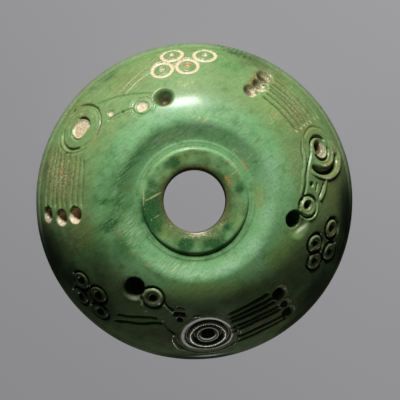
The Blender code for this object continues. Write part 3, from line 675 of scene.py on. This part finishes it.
# Camera
PHOTO_WIDTH = 400  # in pixels
PIXELS_PER_MM = 7.92
CAMERA_DISTANCE = 0.6  # in metres
CAMERA_TARGET = (0.72, 0.15)  # what the middle of the photograph shows
CAMERA_LEAN = (0.5, 0.3)  # in degrees, towards -X and towards -Y
SENSOR_WIDTH = 36


def line_points(start, end):
    return np.linspace(start, end, math.ceil(math.dist(start, end) / TABLE_PITCH) + 1)


def quarter_round(start, end, steep_first):
    """A quarter of an ellipse from start to end, upright at start if steep_first."""
    turn = np.linspace(0, math.pi / 2, ROUND_POINTS)
    slow, fast = 1 - np.cos(turn), np.sin(turn)
    across, up = (slow, fast) if steep_first else (fast, slow)
    return np.stack([start[0] + (end[0] - start[0]) * across, start[1] + (end[1] - start[1]) * up], 1)


def arc_points(centre, radius, first, last):
    """An arc between two slopes, where a slope of 0 is its top."""
    slope = np.linspace(first, last, math.ceil(radius * (last - first) / TABLE_PITCH))
    return np.stack([centre[0] + radius * np.sin(slope), centre[1] + radius * np.cos(slope)], 1)


def dish_points(end):
    """The dish from its lowest circle up to end, level at first and at DISH_SLOPE at end."""
    bend = end[0] - (end[1] - DISH_Z) / math.tan(DISH_SLOPE)
    share = np.linspace(0, 1, DISH_POINTS)
    radius = (1 - share) ** 2 * DISH_RADIUS + 2 * share * (1 - share) * bend + share**2 * end[0]
    return np.stack([radius, DISH_Z + share**2 * (end[1] - DISH_Z)], 1)


def dome_points():
    """The dome's three arcs, one running into the next, from the crest down to the crease at the rim."""
    radius, height, slope = SHOULDER_RADIUS, SHOULDER_Z, SHOULDER_ANGLE
    parts = []
    for arc_radius, last in (SHOULDER_ARC, FLANK_ARC, (BROW_ARC_RADIUS, None)):
        if last is None:
            last = math.asin(math.sin(slope) + (CREASE_RADIUS - radius) / arc_radius)
        centre = (radius - arc_radius * math.sin(slope), height - arc_radius * math.cos(slope))
        parts.append(arc_points(centre, arc_radius, slope, last)[:-1])
        radius = centre[0] + arc_radius * math.sin(last)
        height = centre[1] + arc_radius * math.cos(last)
        slope = last
    return np.concatenate(parts + [[(radius, height)]])


def stretches():
    """The section's stretches, in their order along it."""
    mouth_foot = (BORE_RADIUS, COLLAR_Z - MOUTH_DEPTH)
    mouth_edge = (BORE_RADIUS + MOUTH_WIDTH, COLLAR_Z)
    collar_edge = (COLLAR_RADIUS - COLLAR_ROUND, COLLAR_Z)
    collar_foot = (COLLAR_RADIUS, FOOT_Z)
    crest = arc_points((CREST_RADIUS, TOP - CREST_ROUND), CREST_ROUND, -DISH_SLOPE, SHOULDER_ANGLE)
    dome = dome_points()
    lip_radius = LIP_WIDTH / (1 - math.sin(LIP_START))
    lip_centre = (RIM_RADIUS - lip_radius, dome[-1][1] - lip_radius * math.cos(LIP_START))
    lip = arc_points(lip_centre, lip_radius, LIP_START, math.pi / 2)
    heel = (RIM_RADIUS - HEEL_BEVEL, 0.0)
    bore_foot = (BORE_RADIUS + UNDER_BEVEL, 0.0)
    return {
        "bore bevel": quarter_round(bore_foot, (BORE_RADIUS, UNDER_BEVEL), False),
        "bore": line_points((BORE_RADIUS, UNDER_BEVEL), mouth_foot),
        "mouth": quarter_round(mouth_foot, mouth_edge, True),
        "collar top": line_points(mouth_edge, collar_edge),
        "collar edge": quarter_round(collar_edge, collar_foot, False),
        "collar foot": line_points(collar_foot, (DISH_RADIUS, DISH_Z)),
        "dish": dish_points(crest[0]),
        "crest": crest,
        "dome": dome,
        "lip": lip,
        "edge": line_points(lip[-1], (RIM_RADIUS, HEEL_BEVEL)),
        "heel": quarter_round((RIM_RADIUS, HEEL_BEVEL), heel, True),
        "underside": line_points(heel, bore_foot),
    }


class Section:
    """The turned section as a table over the distance along it."""

    def __init__(self):
        points, rows, length = [], [], 0.0
        for name, part in stretches().items():
            run = np.hypot(*np.diff(part, axis=0).T).sum()
            count = math.ceil(run / ROW_PITCH[name])
            rows.extend(length + run * np.arange(count) / count)
            points.append(part if not points else part[1:])
            length += run
        self.points = np.concatenate(points)
        self.way = np.concatenate([[0], np.cumsum(np.hypot(*np.diff(self.points, axis=0).T))])
        self.rows = np.array(rows + [self.way[-1]])
        slope = np.gradient(self.points, self.way, axis=0)
        normal = np.stack([-slope[:, 1], slope[:, 0]], 1)
        self.normals = normal / np.hypot(*normal.T)[:, None]
        carved = (self.points[:, 1] > CARVED_Z) & (self.points[:, 0] > COLLAR_RADIUS)
        self.eye_way = np.interp(EYE_AXIS_RADIUS, self.points[carved, 0], self.way[carved])
        self.crease_way = np.interp(CREASE_RADIUS, self.points[carved, 0], self.way[carved])
        self.ring_way = np.interp(FINE_RING_RADIUS, self.points[carved, 0], self.way[carved])

    def at(self, way, columns):
        return np.stack([np.interp(way, self.way, columns[:, k]) for k in (0, 1)], 1)


def smooth(share):
    share = np.clip(share, 0, 1)
    return share * share * (3 - 2 * share)


def mound(distance, width):
    """1 in the middle of a width, and rounded off to 0 at its edges."""
    return np.clip(1 - (2 * distance / width) ** 2, 0, 1) ** 2


def wandering(along, out, seed):
    """How far the carver's hand strays from each place, from solid noise."""
    wander = np.empty((len(along), 2))
    for i, (x, y) in enumerate(zip(along / WARP_SIZE, out / WARP_SIZE)):
        wander[i] = noise.noise((x, y, seed)), noise.noise((x, y, seed + WARP_APART))
    return wander * WARP


def curved(places):
    """A smooth curve through places, as short straight runs."""
    points = [np.array(p, float) for p in places]
    padded = [2 * points[0] - points[1]] + points + [2 * points[-1] - points[-2]]
    result = []
    for a, b, c, d in zip(padded, padded[1:], padded[2:], padded[3:]):
        for i in range(CURVE_STEPS):
            t = i / CURVE_STEPS
            double = 2 * b + (c - a) * t + (2 * a - 5 * b + 4 * c - d) * t**2 + (3 * b - a - 3 * c + d) * t**3
            result.append(0.5 * double)
    return result + [points[-1]]


def line_distance(along, out, places):
    """(distance to a curve, share of the way along it)."""
    best = np.full(len(along), FAR)
    share = np.zeros(len(along))
    points = curved(places)
    for i, (a, b) in enumerate(zip(points, points[1:])):
        dx, dy = b[0] - a[0], b[1] - a[1]
        t = np.clip(((along - a[0]) * dx + (out - a[1]) * dy) / (dx * dx + dy * dy), 0, 1)
        distance = np.hypot(along - a[0] - t * dx, out - a[1] - t * dy)
        nearer = distance < best
        best[nearer] = distance[nearer]
        share[nearer] = (i + t[nearer]) / (len(points) - 1)
    return best, share


class Relief:
    """What the cuts do at many places of one figure: how deep, how high, what fill, and how near."""

    KINDS = ("depth", "rise", "residue", "brown", "gloss")

    def __init__(self, along, out, section):
        self.along, self.out, self.section = along, out, section
        for kind in self.KINDS:
            setattr(self, kind, np.zeros(len(along)))
        self.near = np.full(len(along), FAR)

    def press(self, distance, half, shape, cut):
        amounts = (cut.depth, -cut.depth, cut.residue, cut.brown, cut.gloss)
        for kind, amount in zip(self.KINDS, amounts):
            setattr(self, kind, np.maximum(getattr(self, kind), shape * amount))
        self.near = np.minimum(self.near, distance - half)

    def scale(self, out):
        """How much longer a step along is, at this place, than the tables' step."""
        way = self.section.eye_way + out
        return np.interp(way, self.section.way, self.section.points[:, 0]) / EYE_AXIS_RADIUS

    def ring(self, cut):
        x = (self.along - cut.place[0]) * self.scale(cut.place[1])
        y = self.out - cut.place[1]
        distance = abs(np.hypot(x, y) - cut.radius)
        shape = mound(distance, cut.width)
        if cut.sweep < 360:
            turned = (np.degrees(np.arctan2(y, x)) - cut.first) % 360
            inside = smooth(np.minimum(turned, cut.sweep - turned) / RING_FADE)
            shape = shape * inside
            distance = distance + RING_GAP * (inside <= 0)
        self.press(distance, cut.width / 2, shape, cut)

    def pit(self, cut):
        x = (self.along - cut.place[0]) * self.scale(cut.place[1])
        distance = np.hypot(x, self.out - cut.place[1])
        shape = smooth((cut.radius - distance) / (cut.radius * (1 - cut.floor)))
        self.press(distance, cut.radius, shape, cut)

    def line(self, cut):
        scale = self.scale(sum(place[1] for place in cut.places) / len(cut.places))
        places = [(place[0] * scale, place[1]) for place in cut.places]
        distance, share = line_distance(self.along * scale, self.out, places)
        ends = smooth(np.minimum(share, 1 - share) / LINE_FADE + LINE_START)
        shape = mound(distance, cut.width) * ends
        self.press(distance, cut.width / 2, shape, cut)

    def carve(self, figure):
        tools = {Ring: self.ring, Pit: self.pit, Line: self.line}
        first, last = figure.plume_span
        plume = [
            Line(((last, near), ((first + last) / 2, middle), (first, far)), *figure.plume_groove)
            for near, middle, far in figure.plume
        ]
        petals = [cut._replace(place=place) for place in figure.petals for cut in figure.petal]
        for cut in (*figure.cuts, *plume, *petals):
            tools[type(cut)](cut)


def relief_at(turn, way, section):
    """All figures' relief at places, given as turns round the axis and ways along the section."""
    total = Relief(turn, way, section)
    out = way - section.eye_way
    on_dome = np.nonzero((out > CARVED_FROM) & (way < section.crease_way + CREASE_WIDTH))[0]
    for figure in FIGURES:
        along = (figure.bearing - turn[on_dome] + math.pi) % (2 * math.pi) - math.pi
        along = along * EYE_AXIS_RADIUS
        near = (along > FIGURE_REACH[0]) & (along < FIGURE_REACH[1])
        spots = on_dome[near]
        wander = wandering(along[near], out[spots], figure.bearing)
        relief = Relief(along[near] + wander[:, 0], out[spots] + wander[:, 1], section)
        relief.carve(figure)
        for kind in Relief.KINDS:
            values = getattr(total, kind)
            values[spots] = np.maximum(values[spots], getattr(relief, kind))
        total.near[spots] = np.minimum(total.near[spots], relief.near)
    return total


def sheet_of_rows(section):
    """The skin before it is bent: turn round the axis across, way along the section up, as a flat grid."""
    turns = np.linspace(0, 2 * math.pi, COLUMNS + 1) * EYE_AXIS_RADIUS
    places = [(x, y, 0.0) for y in section.rows for x in turns]
    faces = []
    for row in range(len(section.rows) - 1):
        for column in range(COLUMNS):
            corner = row * len(turns) + column
            above = corner + len(turns)
            faces.append((corner, corner + 1, above + 1, above))
    mesh = bpy.data.meshes.new("whorl_skin")
    mesh.from_pydata(places, [], faces)
    return mesh


def vectors(items, name):
    """The three numbers of each vertex or face of a mesh, as rows."""
    values = np.empty(len(items) * 3)
    items.foreach_get(name, values)
    return values.reshape(-1, 3)


def unrolled(places):
    """(turn round the axis, way along the section) of places on the flat grid."""
    return places[:, 0] / EYE_AXIS_RADIUS + SEAM, places[:, 1]


def refine(mesh, section, reach):
    """Splits each face in four whose middle lies within reach of a cut."""
    turn, way = unrolled(vectors(mesh.polygons, "center"))
    near = relief_at(turn, way, section).near < reach
    bm = bmesh.new()
    bm.from_mesh(mesh)
    bm.faces.ensure_lookup_table()
    edges = {edge for i in np.nonzero(near)[0] for edge in bm.faces[i].edges}
    bmesh.ops.subdivide_edges(bm, edges=list(edges), cuts=1, use_grid_fill=True)
    bm.to_mesh(mesh)
    bm.free()


def bent(turn, way, relief, section):
    """Where the flat grid's points lie on the whorl, with its relief and its unevenness."""
    base = section.at(way, section.points)
    normal = section.at(way, section.normals)
    height = relief.rise - relief.depth
    height += FINE_RING_RISE * mound(way - section.ring_way, FINE_RING_WIDTH)
    height -= CREASE_DEPTH * mound(way - section.crease_way, CREASE_WIDTH)
    radius = base[:, 0] + normal[:, 0] * height
    upward = base[:, 1] + normal[:, 1] * height
    places = np.stack([radius * np.cos(turn), radius * np.sin(turn), upward], 1)
    for i, place in enumerate(places):
        sway = sum(share * noise.noise(place / size) for size, share in UNEVEN_SWAYS)
        places[i] = place * (1 - UNEVEN / RIM_RADIUS * (UNEVEN_MIDDLE + UNEVEN_SPREAD * sway))
    return places


def patch_strength(places, patches):
    """How strongly a tint colours each place, from its patches."""
    strength = np.zeros(len(places))
    for centre_x, centre_y, length, width, turn, weight in patches:
        x, y = places[:, 0] - centre_x, places[:, 1] - centre_y
        cos, sin = math.cos(math.radians(turn)), math.sin(math.radians(turn))
        along, across = (x * cos + y * sin) / length, (y * cos - x * sin) / width
        strength = np.maximum(strength, weight * np.exp(-(along**2 + across**2)))
    return strength


def add_attribute(mesh, name, values):
    layer = mesh.attributes.new(name, "FLOAT", "POINT")
    layer.data.foreach_set("value", np.clip(values, 0, 1))


def add_masks(mesh, places, relief):
    """Writes the masks that the stone's layers read, from its cuts, patches, rings of tint and stain."""
    for kind in ("residue", "brown", "gloss"):
        add_attribute(mesh, kind, getattr(relief, kind))
    add_attribute(mesh, "cut_dirt_and_shade", relief.depth / RECESS_DEPTH)
    carved_side = smooth(places[:, 2] / UNDER_FADE)
    for tint, patches in PATCHES.items():
        add_attribute(mesh, tint, patch_strength(places, patches) * carved_side)
    from_axis = np.hypot(places[:, 0], places[:, 1])
    for name, (first, last) in RINGS_OF_TINT.items():
        add_attribute(mesh, name, smooth((from_axis - first) / (last - first)))
    from_mouth = from_axis - BORE_RADIUS
    above_foot = smooth((places[:, 2] - MOUTH_STAIN_FOOT) / MOUTH_DEPTH)
    add_attribute(mesh, "stain", smooth(1 - from_mouth / MOUTH_STAIN_REACH) * above_foot)


def close_up(mesh):
    """Joins the sheet's ends, and turns its faces outwards."""
    bm = bmesh.new()
    bm.from_mesh(mesh)
    bmesh.ops.remove_doubles(bm, verts=bm.verts[:], dist=MERGE_REACH)
    bmesh.ops.recalc_face_normals(bm, faces=bm.faces[:])
    bm.to_mesh(mesh)
    bm.free()


def add_object(name, data):
    obj = bpy.data.objects.new(name, data)
    bpy.context.scene.collection.objects.link(obj)
    return obj


def whorl_skin(material):
    section = Section()
    mesh = sheet_of_rows(section)
    for reach in FINE_REACH:
        refine(mesh, section, reach)
    turn, way = unrolled(vectors(mesh.vertices, "co"))
    relief = relief_at(turn, way, section)
    places = bent(turn, way, relief, section)
    mesh.vertices.foreach_set("co", (places * MM).ravel())
    add_masks(mesh, places, relief)
    close_up(mesh)
    mesh.shade_smooth()
    mesh.materials.append(material)
    return add_object("carved_whorl", mesh)


class Shading:
    """Adds nodes to a material, and gives back their outputs."""

    def __init__(self, tree):
        self.tree = tree

    def node(self, kind, output, inputs, **settings):
        node = self.tree.nodes.new("ShaderNode" + kind)
        for name, value in settings.items():
            setattr(node, name, value)
        for socket, value in inputs.items():
            if isinstance(value, bpy.types.NodeSocket):
                self.tree.links.new(value, node.inputs[socket])
            else:
                node.inputs[socket].default_value = value
        return node.outputs[output]

    def maths(self, operation, a, b):
        return self.node("Math", 0, {0: a, 1: b}, operation=operation)

    def mask(self, name):
        return self.node("Attribute", "Fac", {}, attribute_name=name)

    def noise(self, where, grain):
        inputs = {"Vector": where, "Scale": grain.scale, "Detail": grain.detail, "Roughness": grain.roughness}
        return self.node("TexNoise", "Fac", inputs)

    def step(self, value, low, high, top=1.0):
        """0 up to low, top from high, and smooth between."""
        inputs = {"Value": value, "From Min": low, "From Max": high, "To Max": top}
        return self.node("MapRange", "Result", inputs, interpolation_type="SMOOTHSTEP")

    def amount(self, layer, grains):
        """How much of a layer there is: its mask with its edge broken by its grain, or the grain alone."""
        value = grains[layer.grain]
        if layer.mask:
            mask = self.mask(layer.mask)
            stray = self.maths("MULTIPLY", self.maths("SUBTRACT", value, GRAIN_MIDDLE), layer.ragged)
            held = self.maths("MULTIPLY", stray, self.step(mask, 0.0, MASK_FOOT))
            value = self.maths("ADD", mask, held)
        return self.step(value, layer.low, layer.high, layer.strength)

    def mix(self, kind, amount, under, over):
        """What is under, as far as an amount of over lets it show."""
        first, second, result = MIX_SOCKETS[kind]
        return self.node("Mix", result, {0: amount, first: under, second: over}, data_type=kind)


def green_stone():
    """Mottled, polished green stone, with streaks, pores, stains, and pale and brown fill in its cuts, and
    with painted shade, painted highlights and a painted reflection on its lip.
    """
    material = bpy.data.materials.new("green_stone")
    material.use_nodes = True
    shader = material.node_tree.nodes["Principled BSDF"]
    shading = Shading(material.node_tree)
    metres = shading.node("TexCoord", "Object", {})
    inputs = {0: metres, 1: (1 / MM,) * 3, 2: GRAIN_SHIFT}
    where = shading.node("VectorMath", 0, inputs, operation="MULTIPLY_ADD")
    streaked = {"Vector": where, "Rotation": (0, 0, STREAK_TURN), "Scale": STREAK_STRETCH}
    along_streaks = shading.node("Mapping", 0, streaked, vector_type="TEXTURE")
    grains = {
        name: shading.noise(along_streaks if grain.streaked else where, grain)
        for name, grain in GRAINS.items()
    }
    colour = (*JADE, 1.0)
    for layer in LAYERS:
        colour = shading.mix("RGBA", shading.amount(layer, grains), colour, (*layer.colour, 1.0))
    material.node_tree.links.new(colour, shader.inputs["Base Color"])

    rough = shading.maths("MAXIMUM", shading.mask("residue"), shading.mask("cut_dirt_and_shade"))
    for layer in MATT_LAYERS:
        rough = shading.maths("MAXIMUM", rough, shading.amount(layer, grains))
    low, high = MATT_ROUGHNESS
    matt = shading.node("MapRange", "Result", {"Value": rough, "To Min": low, "To Max": high})
    roughness = shading.mix("FLOAT", shading.amount(GLOSSY_LAYER, grains), matt, GLOSSY_ROUGHNESS)
    material.node_tree.links.new(roughness, shader.inputs["Roughness"])
    shader.inputs["Specular IOR Level"].default_value = SPECULAR_LEVEL
    shader.inputs["Coat Weight"].default_value = COAT_WEIGHT
    shader.inputs["Coat Roughness"].default_value = COAT_ROUGHNESS

    surface = shading.maths("ADD", grains["hairline"], grains["grit"])
    bump = {"Height": surface, "Distance": BUMP_HEIGHT * MM, "Strength": BUMP_STRENGTH}
    normal = shading.node("Bump", "Normal", bump)
    material.node_tree.links.new(normal, shader.inputs["Normal"])
    return material


def stage_piece(name, places, faces, material):
    mesh = bpy.data.meshes.new(name)
    mesh.from_pydata(places, [], faces)
    mesh.materials.append(material)
    piece = add_object(name, mesh)
    piece.visible_diffuse = False
    piece.visible_glossy = False
    return piece


def backdrop():
    """A pale floor and a pale wall round it, which only the camera sees."""
    material = bpy.data.materials.new("pale_floor")
    material.use_nodes = True
    shader = material.node_tree.nodes["Principled BSDF"]
    shader.inputs["Base Color"].default_value = (*FLOOR_COLOUR, 1.0)
    shader.inputs["Roughness"].default_value = FLOOR_ROUGHNESS
    shader.inputs["Specular IOR Level"].default_value = 0.0
    ring = [
        (STAGE_RADIUS * math.cos(turn), STAGE_RADIUS * math.sin(turn))
        for turn in np.linspace(0, 2 * math.pi, STAGE_SIDES, endpoint=False)
    ]
    floor_places = [(x, y, -FLOOR_GAP) for x, y in ring]
    floor = stage_piece("floor", floor_places, [tuple(range(STAGE_SIDES))], material)
    wall_places = [(x, y, z) for z in (-FLOOR_GAP, STAGE_RADIUS) for x, y in ring]
    beside = [(i + 1) % STAGE_SIDES for i in range(STAGE_SIDES)]
    wall_faces = [(i, j, STAGE_SIDES + j, STAGE_SIDES + i) for i, j in enumerate(beside)]
    wall = stage_piece("wall", wall_places, wall_faces, material)
    wall.visible_shadow = False
    return [floor, wall]


def toward(zenith, azimuth):
    """A unit vector at an angle from straight up, turned from +X."""
    zenith, azimuth = math.radians(zenith), math.radians(azimuth)
    level = math.sin(zenith)
    return Vector((level * math.cos(azimuth), level * math.sin(azimuth), math.cos(zenith)))


def aim(obj, place, target, up):
    """Puts obj at place, looking at target, with its top towards up."""
    back = (place - target).normalized()
    side = up.cross(back).normalized()
    top = back.cross(side)
    matrix = Matrix((side, top, back)).transposed().to_4x4()
    matrix.translation = place
    obj.matrix_world = matrix


def softbox(lamp, objects):
    """A soft lamp that lights these objects alone, and that nothing else shades."""
    data = bpy.data.lights.new(lamp.name, "AREA")
    data.shape = "RECTANGLE"
    data.size, data.size_y = lamp.size
    data.energy = lamp.power
    light = add_object(lamp.name, data)
    target = Vector((0, 0, TOP / 2 * MM))
    aim(light, target + toward(lamp.zenith, lamp.azimuth) * lamp.distance, target, Vector((0, 0, 1)))
    light.visible_camera = False
    for ending, side in (("_lit", "receiver"), ("_blocking", "blocker")):
        group = bpy.data.collections.new(lamp.name + ending)
        for obj in objects:
            group.objects.link(obj)
        setattr(light.light_linking, side + "_collection", group)


def studio_world():
    world = bpy.data.worlds.new("studio")
    bpy.context.scene.world = world
    world.use_nodes = True
    background = world.node_tree.nodes["Background"]
    background.inputs["Color"].default_value = (*WORLD_COLOUR, 1.0)
    background.inputs["Strength"].default_value = WORLD_STRENGTH


def camera():
    data = bpy.data.cameras.new("camera")
    data.sensor_width = SENSOR_WIDTH
    data.lens = SENSOR_WIDTH * CAMERA_DISTANCE / (PHOTO_WIDTH / PIXELS_PER_MM * MM)
    cam = add_object("camera", data)
    lean_x, lean_y = (math.sin(math.radians(lean)) for lean in CAMERA_LEAN)
    back = Vector((-lean_x, -lean_y, 1)).normalized()
    target = Vector((CAMERA_TARGET[0] * MM, CAMERA_TARGET[1] * MM, 0))
    aim(cam, target + back * CAMERA_DISTANCE, target, Vector((0, 1, 0)))
    bpy.context.scene.camera = cam


skin = whorl_skin(green_stone())
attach(skin, "root")
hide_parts("whorl")
stage = backdrop()
camera()
softbox(KEY, [skin])
softbox(OVERHEAD, stage)
softbox(LOW_GLINT, [skin])
studio_world()
bpy.context.scene.view_settings.view_transform = "Standard"
